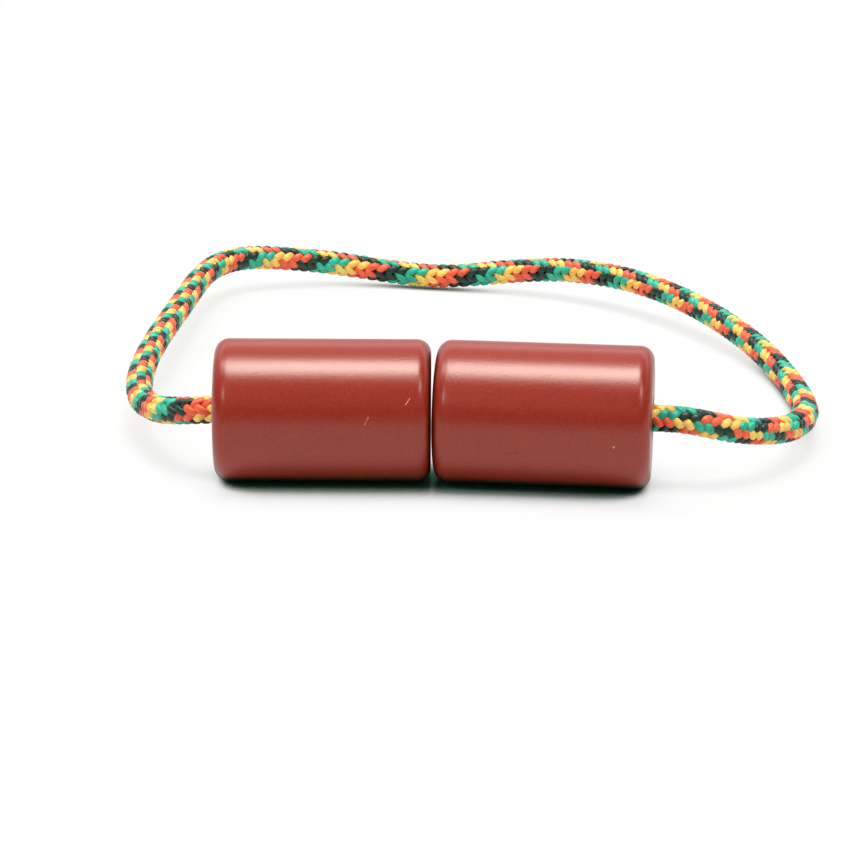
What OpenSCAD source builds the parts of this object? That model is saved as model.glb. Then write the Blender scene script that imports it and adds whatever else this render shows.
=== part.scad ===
// Begleri: two drilled metal beads on one short braided cord, lying on a table.
// The cord loops round behind the beads.
// Millimetres. X runs along the beads, Y from front to back, Z up. The beads lie on the plane z = 0.
// The origin is on that plane, under the middle of the box round the two beads.

/* [Beads] */
// Outer diameter of a bead's barrel
bead_diameter = 13; // [11:0.5:16]
// Length of a bead between its end faces
bead_length = 19.6; // [17:0.1:26]
// Radius that rounds the edge of each end face
edge_radius = 1.3; // [0.6:0.1:1.8]
// Chamfer round the rim of the bore and of the knot pocket
rim_chamfer = 0.4; // [0.2:0.1:0.6]

/* [Cord] */
// Diameter of the braided cord
cord_diameter = 2.6; // [2.2:0.1:3]
// Gap between the cord and the wall of the bore, all round
bore_gap = 0.4; // [0.3:0.05:0.6]

/* [Stopper knots] */
// Diameter of the knot that stops the cord in a bead
knot_diameter = 7; // [6:0.1:7.6]
// Length of that knot along the cord
knot_length = 5.4; // [4.4:0.1:6]
// Radius that rounds the knot's outline
knot_rounding = 1.5; // [1:0.1:1.6]
// Diameter of the melted tip at the end of the cord
tip_diameter = 3.2; // [2.6:0.1:3.6]
// Length of the melted tip, out of the knot
tip_length = 0.9; // [0.6:0.1:1.2]
// Radius that rounds the melted tip's rim
tip_rounding = 0.4; // [0.2:0.1:0.6]
// Gap between the knot and the wall of its pocket, all round
pocket_gap = 0.4; // [0.2:0.1:0.6]
// Gap between the knot and the pocket's floor, which it comes to rest on
seat_gap = 0.1; // [0.05:0.05:0.2]
// How far the melted tip lies below the bead's face
tip_inset = 0.6; // [0.3:0.1:1]

/* [Lie on the table] */
// Gap between the two beads, along their axes
face_gap = 0.55; // [0.5:0.05:1.5]
// Turn of the right bead about the vertical, with its outer end to the front
right_turn = 5.2; // [0:0.1:8]

/* [Hidden] */
$fn = 64;
bead_radius = bead_diameter / 2;
bore_radius = cord_diameter / 2 + bore_gap;
pocket_radius = knot_diameter / 2 + pocket_gap;
pocket_depth = seat_gap + knot_length + tip_length + tip_inset;
// A little more than a cut needs, so that it passes the face
past = 1;

// Middle of each bead's inner face, and the direction from there to its outer end
axis_height = bead_radius;
left_face = [-face_gap / 2, 0, axis_height];
right_face = [face_gap / 2, 0, axis_height];
left_way = [-1, 0, 0];
right_way = [cos(right_turn), -sin(right_turn), 0];

// Where the cord leaves each bead, and where it meets its knot
left_mouth = left_face + bead_length * left_way;
right_mouth = right_face + bead_length * right_way;
knot_foot = pocket_depth - seat_gap;
left_foot = left_face + knot_foot * left_way;
right_foot = right_face + knot_foot * right_way;

// Box round the two beads, seen from above: a rounded cylinder reaches this far from its middle
function reach(across, along) = (bead_radius - edge_radius) * across
    + (bead_length / 2 - edge_radius) * along + edge_radius;
right_middle = right_face + bead_length / 2 * right_way;
x_low = left_mouth[0];
x_high = right_middle[0] + reach(sin(right_turn), cos(right_turn));
y_low = right_middle[1] - reach(cos(right_turn), sin(right_turn));
y_high = max(bead_radius, right_middle[1] + reach(cos(right_turn), sin(right_turn)));
table_spot = [(x_low + x_high) / 2, (y_low + y_high) / 2, 0];

// Route of the cord's centre, from the left bead round the back to the right bead.
// The first and last points lie on the beads' axes, at these distances inside the mouth.
lead_in = [8, 4, 1.5, -1];
lead_out = [-3, 0, 4, 8];
free_route = [
    [-24, 2.5, 5.5], [-26.25, 7, 4.3], [-28, 12, 3.8], [-28.25, 19.5, 4], [-27.75, 26.5, 4.2],
    [-26.75, 36.25, 3.9], [-25.5, 48.25, 3.4], [-24.5, 56, 3.5], [-22, 60.75, 3.7], [-18.25, 62.5, 3.4],
    [-13, 63.75, 2.7], [-7.25, 63.75, 1.9], [-1.5, 62.5, 1.3], [3.5, 61.75, 1.6], [9.5, 60.75, 2.6],
    [14.75, 58.25, 3.4], [20.5, 54.25, 3.6], [25.25, 48.5, 3.4], [29.5, 41.75, 2.8], [32.75, 34.75, 2],
    [34.75, 27.5, 1.3], [35.5, 21, 1.3], [35.5, 12.5, 2.3], [33.5, 4.75, 3.4], [30, 0.5, 4.4],
    [26.5, -1.5, 5.4]
];
route = concat(
    [for (inside = lead_in) left_mouth - inside * left_way],
    free_route,
    [for (inside = lead_out) right_mouth - inside * right_way]
);

// Where one piece of cord gives way to the next, counted in stretches of the route
left_stub_end = 2;
left_bend_end = 5;
left_run_end = 8.5;
back_start = 9.5;
back_end = 19.25;
right_run_start = 20.75;
right_bend_start = 24.5;
right_stub_start = 28;
route_end = len(route) - 3;

// Sides of the cord's tube, and rings to each stretch of the route
tube_sides = 8;
rings_a_stretch = 2;

bead_colour = [0.56, 0.15, 0.13];
cord_colour = [0.86, 0.62, 0.24];
knot_colour = [0.1, 0.5, 0.44];
tip_colour = [0.2, 0.16, 0.12];

// A point of the smooth curve that the route's points shape, u stretches along it
function on_route(u) =
    let (k = min(floor(u), len(route) - 4), t = u - k)
    ((1 - t) ^ 3 * route[k]
        + (3 * t ^ 3 - 6 * t ^ 2 + 4) * route[k + 1]
        + (-3 * t ^ 3 + 3 * t ^ 2 + 3 * t + 1) * route[k + 2]
        + t ^ 3 * route[k + 3]) / 6;

// The direction of the curve there
function along_route(u) =
    let (k = min(floor(u), len(route) - 4), t = u - k)
    unit(-(1 - t) ^ 2 * route[k]
        + (3 * t ^ 2 - 4 * t) * route[k + 1]
        + (-3 * t ^ 2 + 2 * t + 1) * route[k + 2]
        + t ^ 2 * route[k + 3]);

function unit(v) = v / norm(v);

// Places of the rings from one place on the route to another
function ring_places(from, to) = concat(
    [from],
    [for (i = [floor(from * rings_a_stretch) + 1 : ceil(to * rings_a_stretch) - 1]) i / rings_a_stretch],
    [to]
);

// One ring round a point, square to the direction
function ring(centre, direction) =
    let (side = unit(cross(direction, [0, 0, 1])), up = cross(side, direction))
    [for (i = [0 : tube_sides - 1])
        let (turn = 360 * i / tube_sides)
        centre + cord_diameter / 2 * (cos(turn) * side + sin(turn) * up)];

// A closed tube through the centres, each with its direction
module tube(centres, directions) {
    count = len(centres);
    points = [for (i = [0 : count - 1]) each ring(centres[i], directions[i])];
    walls = [
        for (i = [0 : count - 2], j = [0 : tube_sides - 1])
            let (a = i * tube_sides, b = a + tube_sides, next = (j + 1) % tube_sides)
            each [[a + j, b + next, b + j], [a + j, a + next, b + next]]
    ];
    first_face = [for (j = [0 : tube_sides - 1]) tube_sides - 1 - j];
    last_face = [for (j = [0 : tube_sides - 1]) (count - 1) * tube_sides + j];
    polyhedron(points, concat(walls, [first_face, last_face]));
}

// A stretch of cord on the route; a foot adds the straight length to the knot, before it or after it
module cord_stretch(from, to, foot_before = [], foot_after = []) {
    places = ring_places(from, to);
    color(cord_colour) tube(
        concat(foot_before, [for (u = places) on_route(u)], foot_after),
        concat(
            [for (foot = foot_before) along_route(from)],
            [for (u = places) along_route(u)],
            [for (foot = foot_after) along_route(to)]
        )
    );
}

// Puts a piece made along +Z from the origin on a bead's axis, its foot at a distance from the inner face
module on_axis(face, turn, distance) {
    translate(face) rotate([0, 0, turn]) translate([distance, 0, 0]) rotate([0, 90, 0]) children();
}

module on_table() {
    translate(-table_spot) children();
}

// Outline of a bead from its axis out, inner face at zero.
// It is a rounded barrel with bore, pocket and chamfered rims.
module bead_outline() {
    difference() {
        union() {
            square([bead_radius - edge_radius, bead_length]);
            translate([0, edge_radius]) square([bead_radius, bead_length - 2 * edge_radius]);
            translate([bead_radius - edge_radius, edge_radius]) circle(edge_radius);
            translate([bead_radius - edge_radius, bead_length - edge_radius]) circle(edge_radius);
        }
        translate([-past, -past]) square([bore_radius + past, bead_length + 2 * past]);
        translate([-past, -past]) square([pocket_radius + past, pocket_depth + past]);
        polygon([
            [0, -past], [pocket_radius + rim_chamfer + past, -past],
            [pocket_radius, rim_chamfer], [0, rim_chamfer]
        ]);
        polygon([
            [0, bead_length + past], [bore_radius + rim_chamfer + past, bead_length + past],
            [bore_radius, bead_length - rim_chamfer], [0, bead_length - rim_chamfer]
        ]);
    }
}

// The outline starts part of the way round, so that the turned shape's seam doesn't lie on the table
module bead() {
    color(bead_colour) rotate([0, 0, 40]) rotate_extrude() bead_outline();
}

// The knot as a plain barrel of its true size, standing on the end of the cord
module stopper_knot() {
    color(knot_colour) rotate_extrude() {
        square([knot_diameter / 2 - knot_rounding, knot_length]);
        translate([0, knot_rounding]) square([knot_diameter / 2, knot_length - 2 * knot_rounding]);
        for (height = [knot_rounding, knot_length - knot_rounding])
            translate([knot_diameter / 2 - knot_rounding, height]) circle(knot_rounding);
    }
}

// The end of the cord, melted to a button so that it can't fray
module melted_tip() {
    color(tip_colour) rotate_extrude() {
        square([tip_diameter / 2 - tip_rounding, tip_length]);
        square([tip_diameter / 2, tip_length - tip_rounding]);
        translate([tip_diameter / 2 - tip_rounding, tip_length - tip_rounding]) intersection() {
            circle(tip_rounding);
            square(tip_rounding);
        }
    }
}

module left_bead() { on_table() on_axis(left_face, 180, 0) bead(); }
module right_bead() { on_table() on_axis(right_face, -right_turn, 0) bead(); }

module back_cord() { on_table() cord_stretch(back_start, back_end); }
module left_corner_cord() { on_table() cord_stretch(left_run_end, back_start); }
module left_run_cord() { on_table() cord_stretch(left_bend_end, left_run_end); }
module left_bend_cord() { on_table() cord_stretch(left_stub_end, left_bend_end); }
module left_end_cord() { on_table() cord_stretch(0, left_stub_end, foot_before = [left_foot]); }
module right_corner_cord() { on_table() cord_stretch(back_end, right_run_start); }
module right_run_cord() { on_table() cord_stretch(right_run_start, right_bend_start); }
module right_bend_cord() { on_table() cord_stretch(right_bend_start, right_stub_start); }
module right_end_cord() { on_table() cord_stretch(right_stub_start, route_end, foot_after = [right_foot]); }

module left_stopper_knot() {
    on_table() on_axis(left_face, 180, knot_foot - knot_length) stopper_knot();
}
module left_melted_tip() {
    on_table() on_axis(left_face, 180, knot_foot - knot_length) mirror([0, 0, 1]) melted_tip();
}
module right_stopper_knot() {
    on_table() on_axis(right_face, -right_turn, knot_foot - knot_length) stopper_knot();
}
module right_melted_tip() {
    on_table() on_axis(right_face, -right_turn, knot_foot - knot_length) mirror([0, 0, 1]) melted_tip();
}

left_bead();
right_bead();
back_cord();
left_corner_cord();
left_run_cord();
left_bend_cord();
left_end_cord();
right_corner_cord();
right_run_cord();
right_bend_cord();
right_end_cord();
left_stopper_knot();
left_melted_tip();
right_stopper_knot();
right_melted_tip();
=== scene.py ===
# %% [markdown]
# A begleri is a short cord with a bead at each end, flipped round the fingers.
# This one has two drilled metal beads under a satin red coat, on a braided nylon cord.
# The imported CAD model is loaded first, so each length below is in metres in the CAD's own frame.

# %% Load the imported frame
from math import pi, radians

import bmesh
import bpy
import numpy as np
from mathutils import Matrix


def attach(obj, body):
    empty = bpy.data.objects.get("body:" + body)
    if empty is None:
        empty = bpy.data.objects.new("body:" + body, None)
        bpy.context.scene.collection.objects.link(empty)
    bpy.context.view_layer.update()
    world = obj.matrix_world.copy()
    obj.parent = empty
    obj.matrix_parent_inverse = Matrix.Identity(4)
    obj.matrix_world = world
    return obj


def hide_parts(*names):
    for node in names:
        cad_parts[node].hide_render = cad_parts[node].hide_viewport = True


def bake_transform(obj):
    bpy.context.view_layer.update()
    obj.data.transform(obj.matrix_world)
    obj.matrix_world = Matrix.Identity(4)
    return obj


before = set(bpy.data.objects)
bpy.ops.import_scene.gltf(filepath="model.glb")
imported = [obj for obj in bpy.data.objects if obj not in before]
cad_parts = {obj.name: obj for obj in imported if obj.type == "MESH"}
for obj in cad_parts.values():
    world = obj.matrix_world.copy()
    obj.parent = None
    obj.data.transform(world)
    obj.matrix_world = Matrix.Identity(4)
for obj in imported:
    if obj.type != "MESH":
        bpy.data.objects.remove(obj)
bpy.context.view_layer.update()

# %% [markdown]
# The camera comes first, because it decides what the render shows.
# The far rims of the beads' ends hardly show, which tells how near it was: 32 cm from the beads.
# It looks down by 18.5 degrees, turned by a third of a degree about its own axis.

# %% Camera
SENSOR_WIDTH = 36
FOCAL_PIXELS = 3520  # focal length, in pixels of the picture
PICTURE_WIDTH = 864
LOOK_DOWN = 18.5  # degrees
LEAN = 0.3  # degrees

camera_data = bpy.data.cameras.new("table_camera")
camera_data.sensor_width = SENSOR_WIDTH
camera_data.lens = SENSOR_WIDTH * FOCAL_PIXELS / PICTURE_WIDTH
camera_data.clip_end = 10
table_camera = bpy.data.objects.new("table_camera", camera_data)
bpy.context.scene.collection.objects.link(table_camera)
table_camera.location = (-0.00035, -0.303259, 0.106201)
table_camera.rotation_euler = (radians(90 - LOOK_DOWN), 0, 0)
table_camera.rotation_euler.rotate_axis("Z", radians(LEAN))
bpy.context.scene.camera = table_camera
print("lens %.0f mm" % camera_data.lens)

# %% [markdown]
# The cord is one smooth curve, from the knot in the left bead round the back to the other knot.
# Its points pull on the curve like weights, which is a uniform cubic B-spline.
# The same points make the cord's solids in the CAD model, so both lie in the same place.

# %% Points of the cord's route
BEAD_LENGTH = 0.0196
BEAD_RADIUS = 0.0065
RIGHT_TURN = radians(5.2)  # the right bead's outer end is turned to the front
TABLE_SPOT = np.array([0.000197987, -0.000818588, 0])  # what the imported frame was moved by
LEFT_FACE = np.array([-0.000275, 0, BEAD_RADIUS])
RIGHT_FACE = np.array([0.000275, 0, BEAD_RADIUS])
LEFT_WAY = np.array([-1.0, 0, 0])
RIGHT_WAY = np.array([np.cos(RIGHT_TURN), -np.sin(RIGHT_TURN), 0])
LEFT_MOUTH = LEFT_FACE + BEAD_LENGTH * LEFT_WAY
RIGHT_MOUTH = RIGHT_FACE + BEAD_LENGTH * RIGHT_WAY
free_route = [
    [-0.024, 0.0025, 0.0055], [-0.02625, 0.007, 0.0043], [-0.028, 0.012, 0.0038],
    [-0.02825, 0.0195, 0.004], [-0.02775, 0.0265, 0.0042], [-0.02675, 0.03625, 0.0039],
    [-0.0255, 0.04825, 0.0034], [-0.0245, 0.056, 0.0035], [-0.022, 0.06075, 0.0037],
    [-0.01825, 0.0625, 0.0034], [-0.013, 0.06375, 0.0027], [-0.00725, 0.06375, 0.0019],
    [-0.0015, 0.0625, 0.0013], [0.0035, 0.06175, 0.0016], [0.0095, 0.06075, 0.0026],
    [0.01475, 0.05825, 0.0034], [0.0205, 0.05425, 0.0036], [0.02525, 0.0485, 0.0034],
    [0.0295, 0.04175, 0.0028], [0.03275, 0.03475, 0.002], [0.03475, 0.0275, 0.0013],
    [0.0355, 0.021, 0.0013], [0.0355, 0.0125, 0.0023], [0.0335, 0.00475, 0.0034],
    [0.03, 0.0005, 0.0044], [0.0265, -0.0015, 0.0054],
]
lead_in = [LEFT_MOUTH - inside * LEFT_WAY for inside in (0.008, 0.004, 0.0015, -0.001)]
lead_out = [RIGHT_MOUTH - inside * RIGHT_WAY for inside in (-0.003, 0, 0.004, 0.008)]
route = np.array(lead_in + free_route + lead_out) - TABLE_SPOT
print("%d points, %d stretches" % (len(route), len(route) - 3))


# %% Walk along the route
ROUTE_STEPS = 6201


def smooth_curve(points, places):
    """Points of the uniform cubic B-spline at places counted in stretches."""
    start = np.minimum(places.astype(int), len(points) - 4)
    t = (places - start)[:, None]
    return ((1 - t) ** 3 * points[start]
            + (3 * t ** 3 - 6 * t ** 2 + 4) * points[start + 1]
            + (-3 * t ** 3 + 3 * t ** 2 + 3 * t + 1) * points[start + 2]
            + t ** 3 * points[start + 3]) / 6


def distances(points):
    """How far along a line each of its points is."""
    return np.concatenate([[0], np.cumsum(np.linalg.norm(np.diff(points, axis=0), axis=1))])


def at_distance(points, along, wanted):
    """Points of a line at the wanted distances along it."""
    return np.stack([np.interp(wanted, along, points[:, k]) for k in range(3)], axis=1)


KNOT_FOOT = 0.0069  # from the bead's inner face
TAIL = 0.0005  # cord that goes on into the knot
left_foot = LEFT_FACE + KNOT_FOOT * LEFT_WAY - TABLE_SPOT
right_foot = RIGHT_FACE + KNOT_FOOT * RIGHT_WAY - TABLE_SPOT
free_line = smooth_curve(route, np.linspace(0, len(route) - 3, ROUTE_STEPS))
cord_line = np.vstack([left_foot - TAIL * LEFT_WAY, free_line, right_foot - TAIL * RIGHT_WAY])
# Distances count from the left bead's mouth, so they are below zero inside that bead
cord_along = distances(cord_line) - TAIL - np.linalg.norm(left_foot - (LEFT_MOUTH - TABLE_SPOT))
CORD_START = cord_along[0] + TAIL
CORD_END = cord_along[-1] - TAIL
print("cord from knot to knot: %.1f mm" % (1000 * (CORD_END - CORD_START)))


# %% [markdown]
# The sheath is a braid of 16 yarns, eight climbing one way round the cord and eight the other.
# Each yarn passes over two and under two, which puts the stitches in eight straight rows.
# It could be one tube with a bump pattern, but from near the yarns stand out by half their
# thickness, so each of them is built as its own long bundle that rises and dips round a core.

# %% Sizes of the braid
CORD_RADIUS = 0.0013
BRAID_PITCH = 0.0079  # length in which a yarn goes once round
YARN_WIDTH = 0.00076
YARN_THICKNESS = 0.00046
YARN_RISE = 0.00026  # how far a yarn rises above the middle of the sheath
SHEATH_MIDDLE = CORD_RADIUS - YARN_RISE - YARN_THICKNESS / 2
CORE_RADIUS = 0.00068
ROW_MIDDLE = 33.5  # degrees round the cord of the first row of climbing yarns
FALLING_START = 0.1264  # where the falling yarns start, in turns
RING_STEP = 0.00025
YARN_SIDES = 8
YARNS_EACH_WAY = 8
CORE_SIDES = 12

# How the braid is turned about its own axis: millimetres along the cord, degrees
turn_marks = np.array([
    [-20, -5], [0, -5], [8, -3], [14, 2], [20, 1], [26, -2], [32, 8], [36, 7], [40, -1],
    [45, -12], [52, -12], [60, -9], [72, -9], [80, -7], [86, 0], [90, -1], [98, -13],
    [106, -25], [114, -30], [132, -31], [144, -39], [150, -32], [156, -39], [160, -55],
    [172, -72], [184, -78], [205, -78]
])
# How far the braid is pushed along the cord, in turns, where a bend opens or closes it
push_marks = np.array([
    [-20, -0.37], [0, -0.37], [4, -0.41], [8, -0.39], [12, -0.23], [16, 0.08], [20, 0.28],
    [24, 0.40], [32, 0.72], [40, 0.85], [48, 0.98], [56, 1.12], [64, 1.29], [68, 1.33],
    [76, 1.28], [84, 1.17], [92, 1.05], [96, 1.03], [104, 1.05], [112, 1.08], [120, 1.19],
    [136, 1.46], [140, 1.48], [148, 1.44], [156, 1.45], [160, 1.48], [168, 1.69], [172, 1.84],
    [180, 1.93], [205, 1.95]
])
# How far the falling yarns have slipped past the climbing ones, in turns
slip_marks = np.array([
    [-20, -0.04], [12, -0.01], [20, -0.05], [28, -0.02], [36, -0.09], [48, -0.07], [60, -0.04],
    [72, -0.02], [84, -0.06], [92, -0.04], [104, -0.08], [116, -0.04], [124, 0.01], [140, 0.05],
    [152, 0.05], [160, 0], [164, -0.07], [172, -0.02], [184, 0], [205, 0]
])
print("yarn lies at %.0f degrees" % np.degrees(np.arctan(2 * pi * SHEATH_MIDDLE / BRAID_PITCH)))


# %% Frame round the cord
def sideways_and_up(points):
    """Directions square to a line at each point: level, to the inside of the loop, and up."""
    forward = np.gradient(points, axis=0)
    forward /= np.linalg.norm(forward, axis=1)[:, None]
    inward = np.cross(forward, [0, 0, 1])
    inward /= np.linalg.norm(inward, axis=1)[:, None]
    return inward, np.cross(inward, forward)


def carried_along(points, first):
    """Directions square to a line that starts at one and turns as little as it can."""
    forward = np.gradient(points, axis=0)
    forward /= np.linalg.norm(forward, axis=1)[:, None]
    sides = []
    for way in forward:
        first = first - way * (first @ way)
        first = first / np.linalg.norm(first)
        sides.append(first)
    return np.array(sides), np.cross(sides, forward)


def round_the_cord(angle, inward, up):
    """Direction out of the cord at an angle from the inside of the loop, in degrees."""
    angle = np.radians(angle)[:, None]
    return np.cos(angle) * inward + np.sin(angle) * up


# %% One yarn of the braid
def yarn_angle(climbs, number, along):
    """Angle of a yarn round the cord, before the cord's own turn, in degrees."""
    turns = along / BRAID_PITCH + np.interp(1000 * along, push_marks[:, 0], push_marks[:, 1])
    slip = np.interp(1000 * along, slip_marks[:, 0], slip_marks[:, 1])
    own = (number + 0.5) / YARNS_EACH_WAY
    return 360 * (turns - own) if climbs else 360 * (own - turns - slip - FALLING_START)


def yarn_rings(climbs, number, along, points, inward, up, size):
    """Points of a yarn's surface, a ring of them at each distance along the cord."""
    angle = yarn_angle(climbs, number, along)
    wave = np.cos(np.radians(4 * (angle - ROW_MIDDLE)))
    lift = wave * (1.5 - 0.5 * wave ** 2) * (1 if climbs else -1)
    twist = np.interp(1000 * along, turn_marks[:, 0], turn_marks[:, 1])
    out = round_the_cord(angle + twist, inward, up)
    centre = points + size * (SHEATH_MIDDLE + YARN_RISE * lift)[:, None] * out
    forward = np.gradient(centre, axis=0)
    forward /= np.linalg.norm(forward, axis=1)[:, None]
    across = np.cross(forward, out)
    across /= np.linalg.norm(across, axis=1)[:, None]
    proud = np.cross(across, forward)
    # A yarn is widest and fullest where it lies on top
    fullness = 0.9 + 0.1 * lift
    turn = 2 * pi * np.arange(YARN_SIDES) / YARN_SIDES
    side = np.cos(turn)[None, :, None] * across[:, None] * (fullness * YARN_WIDTH / 2)[:, None, None]
    depth = np.sin(turn)[None, :, None] * proud[:, None] * YARN_THICKNESS / 2
    return centre[:, None] + size * (side + depth)


# %% Tubes and their meshes
def tube_faces(rings, sides, first):
    """Quads of a closed tube whose points start at a number, with a cap at each end."""
    ring = np.arange(rings - 1)[:, None] * sides
    side = np.arange(sides)
    after = (side + 1) % sides
    quads = np.stack([ring + side, ring + after, ring + sides + after, ring + sides + side], axis=2)
    quads = quads.reshape(-1, 4) + first
    caps = [list(first + side[::-1]), list(first + (rings - 1) * sides + side)]
    return quads.tolist() + caps


def new_piece(name, points, faces, materials=(), slots=None, smooth=True):
    """Make an object of plain lists of points and faces."""
    mesh = bpy.data.meshes.new(name)
    mesh.from_pydata([tuple(point) for point in points], [], faces)
    for material in materials:
        mesh.materials.append(material)
    if slots is not None:
        mesh.polygons.foreach_set("material_index", slots)
    mesh.polygons.foreach_set("use_smooth", [smooth] * len(mesh.polygons))
    mesh.update()
    piece = bpy.data.objects.new(name, mesh)
    bpy.context.scene.collection.objects.link(piece)
    return piece


# %% [markdown]
# Each finish is a small tree of nodes. One helper adds a node with its settings and its links.
# Colours are written as sRGB hex, as a colour picker gives them, and turned to linear light.

# %% Helpers for materials
def linear(hex_colour):
    """Linear RGBA of an sRGB hex colour such as f2c14e."""
    values = [int(hex_colour[k:k + 2], 16) / 255 for k in (0, 2, 4)]
    return [v / 12.92 if v <= 0.04045 else ((v + 0.055) / 1.055) ** 2.4 for v in values] + [1]


def add_node(tree, kind, settings=None, **inputs):
    """Add a node; an input is a value, or another node's output to link."""
    node = tree.nodes.new(kind)
    for name, value in (settings or {}).items():
        setattr(node, name, value)
    for name, value in inputs.items():
        by_number = name[0] == "i" and name[1:].isdigit()
        socket = node.inputs[int(name[1:])] if by_number else node.inputs[name]
        if isinstance(value, bpy.types.NodeSocket):
            tree.links.new(value, socket)
        else:
            socket.default_value = value
    return node


def new_material(name):
    """An empty material; returns it, its tree and its surface shader."""
    material = bpy.data.materials.new(name)
    material.use_nodes = True
    tree = material.node_tree
    tree.nodes.clear()
    surface = add_node(tree, "ShaderNodeBsdfPrincipled")
    output = add_node(tree, "ShaderNodeOutputMaterial")
    tree.links.new(surface.outputs[0], output.inputs[0])
    return material, tree, surface


def set_socket(node, name, value):
    """A constant goes straight on the node's own socket."""
    node.inputs[name].default_value = value


# %% [markdown]
# Nylon yarn is a bundle of fine dyed filaments laid side by side, drawn smooth when it was spun.
# That gives the eye a silky shine across the filaments and a colour that shifts along the yarn.
# A filament is 0.03 mm across, too fine to show, so the streaks here are about 0.09 mm apart.

# %% Dyed nylon yarn
FILAMENT_STREAK = 0.00009
STREAK_LENGTH = 0.0012


def dyed_nylon(name, hex_colour, deep_hex):
    """Braided nylon yarn in one dye, with streaks and patches in a deeper tone of it."""
    material, tree, surface = new_material(name)
    place = add_node(tree, "ShaderNodeUVMap", {"uv_map": "yarn"})
    stretch = add_node(tree, "ShaderNodeMapping", Vector=place.outputs[0],
                       Scale=(1 / STREAK_LENGTH, 1 / FILAMENT_STREAK, 1))
    streaks = add_node(tree, "ShaderNodeTexNoise", Vector=stretch.outputs[0], Scale=1.0, Detail=2.0)
    patches = add_node(tree, "ShaderNodeTexNoise", Scale=1 / 0.0011, Detail=1.0)
    spot = add_node(tree, "ShaderNodeTexCoord")
    tree.links.new(spot.outputs["Object"], patches.inputs["Vector"])
    both = add_node(tree, "ShaderNodeMath", {"operation": "MULTIPLY"}, i0=streaks.outputs[0],
                    i1=patches.outputs[0])
    ramp = add_node(tree, "ShaderNodeValToRGB", Fac=both.outputs[0])
    ramp.color_ramp.elements[0].position = 0.12
    ramp.color_ramp.elements[0].color = linear(deep_hex)
    ramp.color_ramp.elements[1].position = 0.34
    ramp.color_ramp.elements[1].color = linear(hex_colour)
    tree.links.new(ramp.outputs[0], surface.inputs["Base Color"])
    bump = add_node(tree, "ShaderNodeBump", Strength=0.5, Distance=0.00004, Height=streaks.outputs[0])
    tree.links.new(bump.outputs[0], surface.inputs["Normal"])
    set_socket(surface, "Roughness", 0.4)
    set_socket(surface, "IOR", 1.53)
    set_socket(surface, "Sheen Weight", 0.05)
    set_socket(surface, "Sheen Roughness", 0.4)
    return material


yarn_dyes = [
    dyed_nylon("nylon_yellow", "ffd86c", "f5b548"),
    dyed_nylon("nylon_orange", "fb683f", "e04f2c"),
    dyed_nylon("nylon_bottle_green", "023524", "012015"),
    dyed_nylon("nylon_teal", "2cc4a0", "149a7a"),
]
# Painted shade in part: the core is dark charcoal so that the gaps between the yarns stay dark
core_nylon = dyed_nylon("nylon_core", "2a2a24", "1c1c18")
print("dyes:", ", ".join(dye.name for dye in yarn_dyes))


# %% [markdown]
# The cord flexes at four places, and a mesh can be blended over one joint only.
# So the cord is four meshes that meet where it runs straight between two of those places.
# Each is cut square across, and the yarns of one go on exactly where the other's stop.

# %% Braid a length of cord
def braid(name, along, points, inward, up, size=1.0):
    """The braid and its core round a line; its first and last points only give directions."""
    rings = len(along) - 2
    all_points, faces, slots = [], [], []
    for climbs in (True, False):
        for number in range(YARNS_EACH_WAY):
            skin = yarn_rings(climbs, number, along, points, inward, up, size)[1:-1]
            first = sum(len(part) for part in all_points)
            all_points.append(skin.reshape(-1, 3))
            yarn = tube_faces(rings, YARN_SIDES, first)
            faces += yarn
            # The colours go two yarns each: along a row of stitches, yellow, orange, green, teal
            slots += [number // 2] * len(yarn)
    turn = 2 * pi * np.arange(CORE_SIDES) / CORE_SIDES
    core = (points[:, None] + size * CORE_RADIUS * (np.cos(turn)[None, :, None] * inward[:, None]
                                                    + np.sin(turn)[None, :, None] * up[:, None]))[1:-1]
    first = sum(len(part) for part in all_points)
    all_points.append(core.reshape(-1, 3))
    inside = tube_faces(rings, CORE_SIDES, first)
    piece = new_piece(name, np.vstack(all_points), faces + inside, yarn_dyes + [core_nylon],
                      slots + [len(yarn_dyes)] * len(inside))
    lay_yarn_uv(piece, along[1:-1], rings)
    return piece


def braided_cord(name, start, end):
    """The cord between two distances along it, and the line that it follows."""
    rings = int(round((end - start) / RING_STEP)) + 1
    along = np.linspace(start, end, rings)
    # A little more at each end, so that directions at the cut match the next piece's
    step = along[1] - along[0]
    longer = np.concatenate([[start - step], along, [end + step]])
    points = at_distance(cord_line, cord_along, longer)
    inward, up = sideways_and_up(points)
    return braid(name, longer, points, inward, up), points[1:-1]


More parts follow.
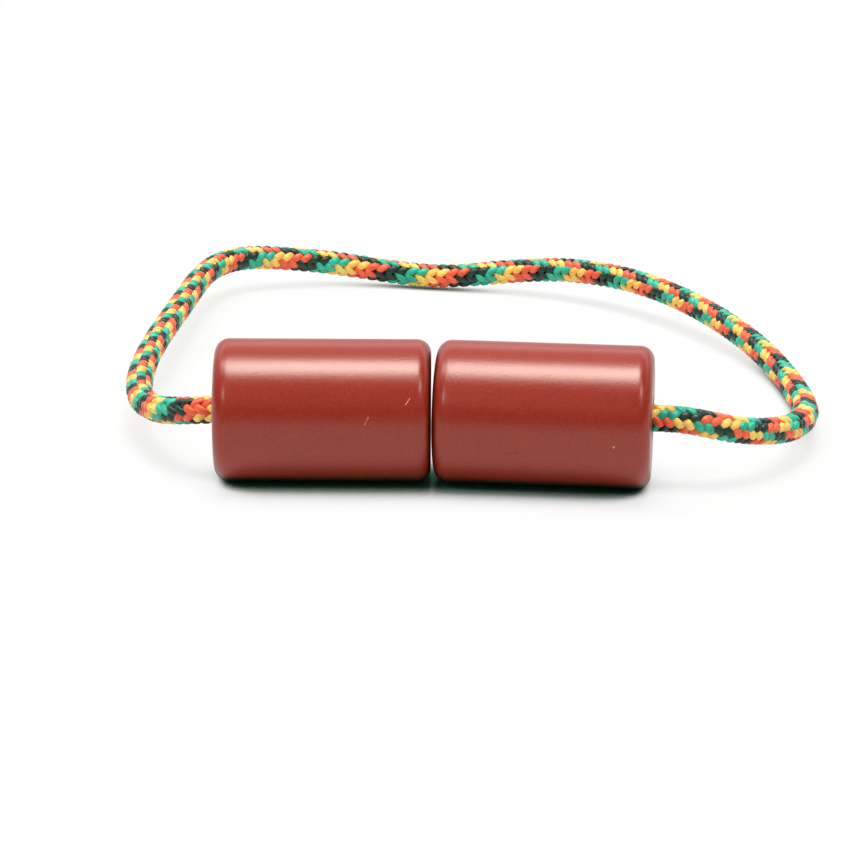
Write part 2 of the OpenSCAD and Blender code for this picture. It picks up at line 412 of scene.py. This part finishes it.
def lay_yarn_uv(piece, along, rings):
    """UV along each yarn and across it, in metres, for the filament streaks."""
    mesh = piece.data
    corner_points = np.zeros(len(mesh.loops), dtype=int)
    mesh.loops.foreach_get("vertex_index", corner_points)
    yarn_points = 2 * YARNS_EACH_WAY * rings * YARN_SIDES
    is_yarn = corner_points < yarn_points
    number = np.where(is_yarn, corner_points // (rings * YARN_SIDES), 2 * YARNS_EACH_WAY)
    inner = np.where(is_yarn, corner_points % (rings * YARN_SIDES), corner_points - yarn_points)
    sides = np.where(is_yarn, YARN_SIDES, CORE_SIDES)
    across = (inner % sides) / sides
    # The last corner of a ring's last face is one whole turn on, not back at the start; the caps
    # have more corners than a quad and are left as they are
    starts = np.zeros(len(mesh.polygons), dtype=int)
    totals = np.zeros(len(mesh.polygons), dtype=int)
    mesh.polygons.foreach_get("loop_start", starts)
    mesh.polygons.foreach_get("loop_total", totals)
    quads = starts[totals == 4]
    corners = quads[:, None] + np.arange(4)
    wrapped = (across[corners].max(axis=1) - across[corners].min(axis=1) > 0.5)[:, None]
    across[corners] = np.where(wrapped & (across[corners] < 0.25), across[corners] + 1, across[corners])
    # Yarn lies aslant, so it is 1.3 times as long as the cord; its girth is 2.1 mm, and each yarn
    # is set apart from the next so that no two show the same streaks
    lengthwise = along[inner // sides] * 1.3 + 0.37 * number
    crosswise = across * 0.0021 + 0.013 * number
    uv = np.stack([lengthwise, crosswise], axis=1)
    mesh.uv_layers.new(name="yarn").data.foreach_set("uv", uv.ravel())


# %% The four lengths of cord
LEFT_MEETING = 0.032
BACK_MEETING = 0.090
RIGHT_MEETING = 0.143
left_front_cord, left_front_path = braided_cord("left_front_cord", CORD_START, LEFT_MEETING)
left_back_cord, left_back_path = braided_cord("left_back_cord", LEFT_MEETING, BACK_MEETING)
right_back_cord, right_back_path = braided_cord("right_back_cord", BACK_MEETING, RIGHT_MEETING)
right_front_cord, right_front_path = braided_cord("right_front_cord", RIGHT_MEETING, CORD_END)
for piece in (left_front_cord, left_back_cord, right_back_cord, right_front_cord):
    print(piece.name, len(piece.data.polygons), "faces")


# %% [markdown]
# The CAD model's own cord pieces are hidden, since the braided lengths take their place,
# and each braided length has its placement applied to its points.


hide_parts("left_end_cord", "left_bend_cord")
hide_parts("left_run_cord", "left_corner_cord", "back_cord")
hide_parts("right_run_cord", "right_corner_cord")
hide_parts("right_end_cord", "right_bend_cord")
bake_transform(left_front_cord)
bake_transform(left_back_cord)
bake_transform(right_back_cord)
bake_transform(right_front_cord)


# %% [markdown]
# Each bead is turned from bar, drilled, and its edges rounded over on the lathe.
# A lathe shape is one outline swept round an axis, so it is built as such, with far more steps
# than the CAD mesh has, because a satin highlight shows every flat.

# %% The bead's outline
EDGE_RADIUS = 0.0013
BORE_RADIUS = 0.0017
POCKET_RADIUS = 0.0039
POCKET_DEPTH = 0.0070
RIM_CHAMFER = 0.0004


def rounded(centre, radius, start, end, steps=10):
    """Points of a rounded corner, angles in degrees."""
    return [(centre[0] + radius * np.cos(radians(a)), centre[1] + radius * np.sin(radians(a)))
            for a in np.linspace(start, end, steps)]


def bead_outline(build):
    """Distance from the axis and from the inner face, which the coat builds out, round the section."""
    flat = BEAD_RADIUS - EDGE_RADIUS
    outline = [(POCKET_RADIUS + RIM_CHAMFER, -build)]
    outline += rounded((flat, EDGE_RADIUS - build), EDGE_RADIUS, -90, 0)
    outline += [(BEAD_RADIUS, z) for z in np.linspace(EDGE_RADIUS, BEAD_LENGTH - EDGE_RADIUS, 24)[1:-1]]
    outline += rounded((flat, BEAD_LENGTH - EDGE_RADIUS), EDGE_RADIUS, 0, 90)
    outline += [(BORE_RADIUS + RIM_CHAMFER, BEAD_LENGTH), (BORE_RADIUS, BEAD_LENGTH - RIM_CHAMFER)]
    outline += [(BORE_RADIUS, POCKET_DEPTH), (POCKET_RADIUS, POCKET_DEPTH), (POCKET_RADIUS, RIM_CHAMFER)]
    return outline


print("outline of %d points" % len(bead_outline(0)))


# %% Turn the beads
def lathe(name, outline, foot, way, steps, materials):
    """Sweep a closed outline round an axis that starts at foot and runs along way."""
    side = np.cross(way, [0, 0, 1])
    up = np.cross(side, way)
    count = len(outline)
    points = []
    for k in range(steps):
        turn = 2 * pi * k / steps
        out = np.cos(turn) * side + np.sin(turn) * up
        points += [foot + way * z + out * r for r, z in outline]
    faces = []
    for k in range(steps):
        after = (k + 1) % steps
        for i in range(count):
            j = (i + 1) % count
            faces.append((k * count + i, k * count + j, after * count + j, after * count + i))
    piece = new_piece(name, points, faces, materials)
    mesh = bmesh.new()
    mesh.from_mesh(piece.data)
    bmesh.ops.recalc_face_normals(mesh, faces=mesh.faces)
    mesh.to_mesh(piece.data)
    mesh.free()
    piece.data.set_sharp_from_angle(angle=radians(35))
    return piece


# %% [markdown]
# The coat is a satin lacquer, cured hard, most likely over metal, with a fine grain in it.
# That gives the eye an even red that turns brown where it mirrors the table, and a highlight
# with a soft edge and a faint speckle. The speckles are about 0.18 mm apart.

# %% Small marks on the coat
# Each is a short scratch: its two ends in metres, half its width, and the colour that shows in it
coat_marks = [
    ((-0.00238, -0.00496, 0.00948), (-0.00273, -0.00519, 0.00899), 0.00005, "e8b8a4"),
    ((-0.00602, -0.00552, 0.00795), (-0.00638, -0.00564, 0.00724), 0.00007, "c9806c"),
    ((0.0063, -0.00602, 0.00471), (0.00763, -0.00621, 0.00497), 0.00009, "50100c"),
    ((0.01577, -0.0071, 0.00579), (0.01580, -0.0071, 0.00574), 0.00010, "e0b8a8"),
]


def near_line(tree, spot, start, end, width, ragged):
    """How much a place belongs to a scratch between two points: 1 on it, 0 beyond its width."""
    start, end = np.array(start), np.array(end)
    away = add_node(tree, "ShaderNodeVectorMath", {"operation": "SUBTRACT"}, i0=spot, i1=tuple(start))
    reach = tuple((end - start) / ((end - start) @ (end - start)))
    part = add_node(tree, "ShaderNodeVectorMath", {"operation": "DOT_PRODUCT"}, i0=away.outputs[0], i1=reach)
    part = add_node(tree, "ShaderNodeClamp", i0=part.outputs["Value"])
    foot = add_node(tree, "ShaderNodeVectorMath", {"operation": "SCALE"}, i0=tuple(end - start),
                    Scale=part.outputs[0])
    off = add_node(tree, "ShaderNodeVectorMath", {"operation": "DISTANCE"}, i0=away.outputs[0],
                   i1=foot.outputs[0])
    uneven = add_node(tree, "ShaderNodeMath", {"operation": "MULTIPLY"}, i0=ragged, i1=3 * width)
    off = add_node(tree, "ShaderNodeMath", {"operation": "ADD"}, i0=off.outputs["Value"],
                   i1=uneven.outputs[0])
    edge = add_node(tree, "ShaderNodeMapRange", Value=off.outputs[0])
    set_socket(edge, "From Min", 1.4 * width)
    set_socket(edge, "From Max", 2.6 * width)
    set_socket(edge, "To Min", 1.0)
    set_socket(edge, "To Max", 0.0)
    return edge.outputs[0]


# %% Red satin coat
SPECKLE = 0.00018


def satin_coat():
    """Red satin lacquer with fine grain, a few small marks from use, and painted shade where something lies
    close.
    """
    material, tree, surface = new_material("red_satin_lacquer")
    spot = add_node(tree, "ShaderNodeTexCoord").outputs["Object"]
    grain = add_node(tree, "ShaderNodeTexNoise", Vector=spot, Scale=1 / SPECKLE, Detail=2.0)
    cloud = add_node(tree, "ShaderNodeTexNoise", Vector=spot, Scale=1 / 0.004, Detail=3.0)
    # Mostly fine speckle, with only a faint cloud, since the coat is even from bead end to bead end
    faint = add_node(tree, "ShaderNodeMath", {"operation": "MULTIPLY"}, i0=cloud.outputs[0], i1=0.15)
    speckle = add_node(tree, "ShaderNodeMath", {"operation": "MULTIPLY_ADD"}, i0=grain.outputs[0], i1=0.85,
                       i2=faint.outputs[0])
    ramp = add_node(tree, "ShaderNodeValToRGB", Fac=speckle.outputs[0])
    ramp.color_ramp.elements[0].position = 0.3
    ramp.color_ramp.elements[0].color = linear("841d0f")
    ramp.color_ramp.elements[1].position = 0.7
    ramp.color_ramp.elements[1].color = linear("a02713")
    colour = ramp.outputs[0]
    for start, end, width, shows in coat_marks:
        inside = near_line(tree, spot, start, end, width, grain.outputs[0])
        mixed = add_node(tree, "ShaderNodeMix", {"data_type": "RGBA"}, i0=inside, i6=colour, i7=linear(shows))
        colour = mixed.outputs[2]
    # Painted shade: where something lies close, the base colour is darkened to nearly black, as no light gets
    # in there
    close = add_node(tree, "ShaderNodeAmbientOcclusion", {"samples": 8}, Distance=0.002)
    lit = add_node(tree, "ShaderNodeMapRange", Value=close.outputs["AO"])
    set_socket(lit, "From Min", 0.3)
    set_socket(lit, "From Max", 0.85)
    shaded = add_node(tree, "ShaderNodeMix", {"data_type": "RGBA"}, i0=lit.outputs[0], i6=linear("180302"),
                      i7=colour)
    tree.links.new(shaded.outputs[2], surface.inputs["Base Color"])
    bump = add_node(tree, "ShaderNodeBump", Strength=0.6, Distance=0.00002, Height=grain.outputs[0])
    tree.links.new(bump.outputs[0], surface.inputs["Normal"])
    set_socket(surface, "Roughness", 0.3)
    set_socket(surface, "IOR", 1.6)
    set_socket(surface, "Specular Tint", linear("fff6ea"))
    return material


red_coat = satin_coat()
COAT_BUILD = 0.00003  # thickness of the coat; two of them must fit in the gap at its front
BEAD_STEPS = 192
coated = bead_outline(COAT_BUILD)
left_bead = lathe("left_bead_turned", coated, LEFT_FACE - TABLE_SPOT, LEFT_WAY, BEAD_STEPS, [red_coat])
right_bead = lathe("right_bead_turned", coated, RIGHT_FACE - TABLE_SPOT, RIGHT_WAY, BEAD_STEPS, [red_coat])
for bead, side in ((left_bead, "left"), (right_bead, "right")):
    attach(bead, side + "_bead_body")
    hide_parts(side + "_bead")
print("bead: %d faces" % len(left_bead.data.polygons))

# %% [markdown]
# Each end of the cord is wound on itself to a stopper knot, drawn tight, which can't pass the bore.
# It sits out of sight in the pocket of its bead's inner face, so it could be a plain lump, but it
# shows when the beads are parted. Here the same braid is laid along a tight coil, squeezed thinner.

# %% Stopper knots
KNOT_SQUEEZE = 0.85
# The coil, listed: degrees round the bead's axis, millimetres off it, millimetres from the inner face
knot_coil = [
    [0, 0, 7.5], [0, 0, 6.9], [0, 0.4, 6.2], [15, 1.7, 5.7], [50, 2.7, 5.6], [100, 2.8, 5.45],
    [150, 2.8, 5.1], [200, 2.8, 4.75], [250, 2.8, 4.4], [300, 2.8, 4.05], [350, 2.8, 3.7],
    [400, 2.8, 3.35], [450, 2.8, 3.05], [500, 2.7, 2.75], [540, 1.7, 2.55], [560, 0.4, 2.2],
    [560, 0, 1.6], [560, 0, 1.0],
]


def on_axis(face, way, degrees, off, depth):
    """A place in a bead: round its axis, off it, and in from its inner face, in metres."""
    side = np.cross(way, [0, 0, 1])
    up = np.array([0, 0, 1])
    out = np.cos(radians(degrees)) * side + np.sin(radians(degrees)) * up
    return face + depth * way + off * out


def stopper_knot(name, face, way, start):
    """The braid wound on itself, from the foot in the pocket to where the tip begins."""
    turns = [on_axis(face, way, a, off / 1000, depth / 1000) for a, off, depth in knot_coil]
    line = smooth_curve(np.array(turns), np.linspace(0, len(turns) - 3, 801))
    line_along = distances(line)
    spots = np.linspace(0, line_along[-1], int(line_along[-1] / RING_STEP))
    points = at_distance(line, line_along, spots)
    across, over = carried_along(points, np.array([0.0, 0, 1]))
    piece = braid(name, start + spots, points, across, over, KNOT_SQUEEZE)
    print("%s: %.0f mm of cord" % (name, 1000 * line_along[-1]))
    return piece


left_knot = stopper_knot("left_wound_knot", LEFT_FACE - TABLE_SPOT, LEFT_WAY, CORD_START)
right_knot = stopper_knot("right_wound_knot", RIGHT_FACE - TABLE_SPOT, RIGHT_WAY, CORD_END)


# %% [markdown]
# The cut ends are melted with a flame, so that the yarns fuse and the braid can't fray.
# Nylon melts to an uneven button, browned by the heat, with a gloss where it ran smooth.
# It is a short round of rings whose width swells and wanders a little.

# %% Melted nylon
def melted_nylon():
    """Nylon fused by heat: the dyes run into a dark olive brown, glossy in patches."""
    material, tree, surface = new_material("melted_nylon_button")
    spot = add_node(tree, "ShaderNodeTexCoord")
    flow = add_node(tree, "ShaderNodeTexNoise", Vector=spot.outputs["Object"], Scale=1 / 0.0009, Detail=3.0)
    ramp = add_node(tree, "ShaderNodeValToRGB", Fac=flow.outputs[0])
    ramp.color_ramp.elements[0].position = 0.35
    ramp.color_ramp.elements[0].color = linear("1e2a20")
    ramp.color_ramp.elements[1].position = 0.7
    ramp.color_ramp.elements[1].color = linear("5a3f24")
    tree.links.new(ramp.outputs[0], surface.inputs["Base Color"])
    bump = add_node(tree, "ShaderNodeBump", Strength=0.5, Distance=0.0001, Height=flow.outputs[0])
    tree.links.new(bump.outputs[0], surface.inputs["Normal"])
    set_socket(surface, "Roughness", 0.32)
    set_socket(surface, "IOR", 1.53)
    return material


# %% Melted tips
melted = melted_nylon()
# Millimetres from the inner face, and off the axis
tip_rings = [[1.62, 1.2], [1.5, 1.42], [1.34, 1.54], [1.12, 1.58], [0.9, 1.52], [0.74, 1.34], [0.64, 1.0],
             [0.6, 0.5]]


def melted_tip(name, face, way):
    """A button of rings round the bead's axis, with an uneven edge."""
    sides = 32
    points = []
    for depth, off in tip_rings:
        for k in range(sides):
            degrees = 360 * k / sides
            swell = 0.035 * (1 + np.sin(radians(3 * degrees + 40)))
            ripple = 0.02 * (1 + np.sin(radians(5 * degrees)))
            uneven = 1 - swell - ripple
            points.append(on_axis(face, way, degrees, off * uneven / 1000, depth / 1000))
    return new_piece(name, points, tube_faces(len(tip_rings), sides, 0), [melted])


left_tip = melted_tip("left_melted_button", LEFT_FACE - TABLE_SPOT, LEFT_WAY)
right_tip = melted_tip("right_melted_button", RIGHT_FACE - TABLE_SPOT, RIGHT_WAY)
for side, knot, tip in (("left", left_knot, left_tip), ("right", right_knot, right_tip)):
    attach(knot, side + "_knot")
    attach(tip, side + "_knot")
    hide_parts(side + "_stopper_knot")
    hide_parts(side + "_melted_tip")

# %% [markdown]
# The table is a white surface without an end. Most light comes from a large soft box overhead,
# whose mirror image in the satin coat is the pale band along each bead. A second box on the left
# carries that band to the bead's end, and two narrow strips give the short streaks on the rounded
# edges. Close to an object the table keeps its own shading, so that the shadow stays, and its
# colour there is painted shade: darkened, with a green tinge.

# %% White table
WHITENED = 0.8  # the most plain white that the table shows, so that shadows stay faint


def white_ground():
    """White table: plain white where it is open, and its own shading where something stands close, with
    painted shade in its colour there.
    """
    material, tree, surface = new_material("white_table")
    set_socket(surface, "Roughness", 0.9)
    close = add_node(tree, "ShaderNodeAmbientOcclusion", {"samples": 12}, Distance=0.012)
    # Painted shade: close to an object the table's colour is darker still in reflections and in bounced light
    bounced = add_node(tree, "ShaderNodeMath", {"operation": "SUBTRACT"}, i0=1.0)
    dimmed = add_node(tree, "ShaderNodeMath", {"operation": "MULTIPLY_ADD"}, i0=bounced.outputs[0], i1=-0.15,
                      i2=close.outputs["AO"])
    # Painted shade: the table's colour runs from pale grey to dark green as an object comes close
    ground = add_node(tree, "ShaderNodeValToRGB", Fac=dimmed.outputs[0])
    ground.color_ramp.elements[0].position = 0.12
    ground.color_ramp.elements[0].color = linear("2c8a60")
    ground.color_ramp.elements[1].position = 0.4
    ground.color_ramp.elements[1].color = linear("dcdcda")
    tree.links.new(ground.outputs[0], surface.inputs["Base Color"])
    path = add_node(tree, "ShaderNodeLightPath")
    tree.links.new(path.outputs["Is Camera Ray"], bounced.inputs[1])
    seen = add_node(tree, "ShaderNodeMath", {"operation": "MAXIMUM"}, i0=path.outputs["Is Camera Ray"],
                    i1=path.outputs["Is Glossy Ray"])
    seen = add_node(tree, "ShaderNodeMath", {"operation": "MAXIMUM"}, i0=seen.outputs[0],
                    i1=path.outputs["Is Transmission Ray"])
    open_share = add_node(tree, "ShaderNodeMapRange", Value=dimmed.outputs[0])
    set_socket(open_share, "From Min", 0.26)
    set_socket(open_share, "From Max", 0.42)
    set_socket(open_share, "To Max", WHITENED)
    share = add_node(tree, "ShaderNodeMath", {"operation": "MULTIPLY"}, i0=seen.outputs[0],
                     i1=open_share.outputs[0])
    white = add_node(tree, "ShaderNodeEmission", Color=linear("fdfdfd"), Strength=1.0)
    either = add_node(tree, "ShaderNodeMixShader", i0=share.outputs[0], i1=surface.outputs[0],
                      i2=white.outputs[0])
    output = next(node for node in tree.nodes if node.type == "OUTPUT_MATERIAL")
    tree.links.new(either.outputs[0], output.inputs[0])
    return material


table_corners = [(-3, -3, 0), (3, -3, 0), (3, 3, 0), (-3, 3, 0)]
table = new_piece("table", table_corners, [(0, 1, 2, 3)], [white_ground()], smooth=False)


# %% Lamps
def hang_lamp(name, across, deep, energy, place, turn=0):
    """A soft rectangular lamp that faces straight down, turned about the vertical by degrees."""
    lamp = bpy.data.lights.new(name, "AREA")
    lamp.shape = "RECTANGLE"
    lamp.size = across
    lamp.size_y = deep
    lamp.energy = energy
    lamp_object = bpy.data.objects.new(name, lamp)
    bpy.context.scene.collection.objects.link(lamp_object)
    lamp_object.location = place
    lamp_object.rotation_euler = (0, 0, radians(turn))


hang_lamp("soft_box", 0.42, 0.42, 8.8, (0, 0.01, 1.0))
hang_lamp("left_box", 0.46, 0.26, 2.6, (-0.51, 0.17, 0.85), -22)
hang_lamp("right_strip", 0.06, 0.30, 2.2, (0.45, -0.46, 0.8), 20)
hang_lamp("left_strip", 0.06, 0.24, 1.8, (-0.42, -0.66, 0.66), -20)

# %% Room
# The room is dim in front, where the camera stands, and paler behind and overhead
world = bpy.data.worlds.new("pale_room")
bpy.context.scene.world = world
world.use_nodes = True
tree = world.node_tree
tree.nodes.clear()
way = add_node(tree, "ShaderNodeTexCoord")
parts = add_node(tree, "ShaderNodeSeparateXYZ", Vector=way.outputs["Generated"])
height = add_node(tree, "ShaderNodeValToRGB", Fac=parts.outputs["Z"])
height.color_ramp.elements[0].position = 0.0
height.color_ramp.elements[0].color = (0.16, 0.16, 0.16, 1)
height.color_ramp.elements[1].position = 1.0
height.color_ramp.elements[1].color = (0.22, 0.22, 0.22, 1)
for place, level in ((0.42, 0.16), (0.50, 0.80), (0.58, 0.16)):
    height.color_ramp.elements.new(place).color = (level, level, level, 1)
depth = add_node(tree, "ShaderNodeMapRange", Value=parts.outputs["Y"])
set_socket(depth, "From Min", 0.0)
set_socket(depth, "From Max", 0.8)
set_socket(depth, "To Min", 1.0)
set_socket(depth, "To Max", 4.0)
room = add_node(tree, "ShaderNodeBackground", Color=height.outputs[0], Strength=depth.outputs[0])
output = add_node(tree, "ShaderNodeOutputWorld")
tree.links.new(room.outputs[0], output.inputs[0])
bpy.context.scene.view_settings.view_transform = "Standard"
